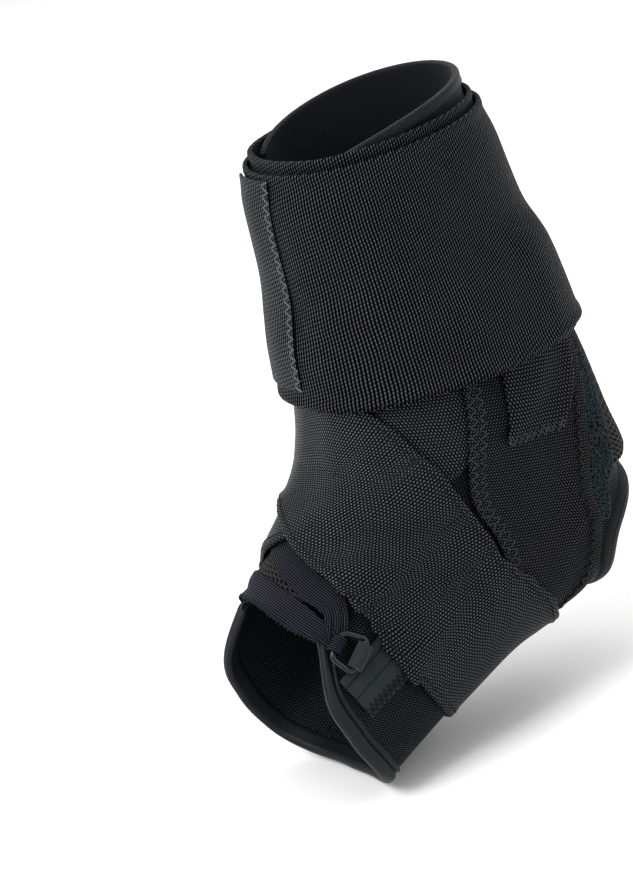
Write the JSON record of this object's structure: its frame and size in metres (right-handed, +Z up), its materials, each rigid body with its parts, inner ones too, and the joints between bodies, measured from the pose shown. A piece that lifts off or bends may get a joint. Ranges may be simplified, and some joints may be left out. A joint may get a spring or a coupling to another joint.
{
  "type": "ankle brace",
  "caption": "Left ankle brace in its worn form: nylon boot with open heel and toes, crossed nylon straps, wide elastic cuff and a laced instep.",
  "frame": {"origin": "centre of the ankle joint, where a worn ankle holds the brace up", "axes": "+Z up along the leg, -Y to the toes, +X to the outer side of the left foot"},
  "size_m": [0.0866, 0.1405, 0.2046],
  "materials": {
    "nylon": "coarse dotted woven nylon",
    "strap_nylon": "coarse dotted woven nylon strap",
    "binding_tape": "smooth fine-ribbed tape",
    "cuff_elastic": "knitted elastic with fine upright ribs",
    "lace_elastic": "narrow ribbed elastic",
    "spacer_mesh": "spacer mesh with open holes",
    "loop_pile": "fuzzy loop pile",
    "stretch_cloth": "smooth stretch cloth",
    "synthetic_suede": "matte synthetic suede",
    "ring_metal": "glossy black coated wire"
  },
  "bodies": {
    "root": {"tongue": "spacer_mesh", "top_collar": "stretch_cloth", "boot_shell": "nylon", "foot_binding": "binding_tape", "heel_binding": "binding_tape", "achilles_pad": "spacer_mesh", "pile_strip_lateral": "loop_pile", "pile_strip_medial": "loop_pile", "d_ring": "ring_metal", "instep_elastic": "lace_elastic", "ring_tab": "synthetic_suede", "side_panel_medial": "nylon", "stay_pocket_medial": "nylon", "medial_strap": "strap_nylon", "side_panel_lateral": "nylon", "stay_pocket_lateral": "nylon", "lateral_strap": "strap_nylon", "inner_cuff": "cuff_elastic", "elastic_cuff": "cuff_elastic", "cuff_end_tab": "cuff_elastic"}
  },
  "joints": []
}
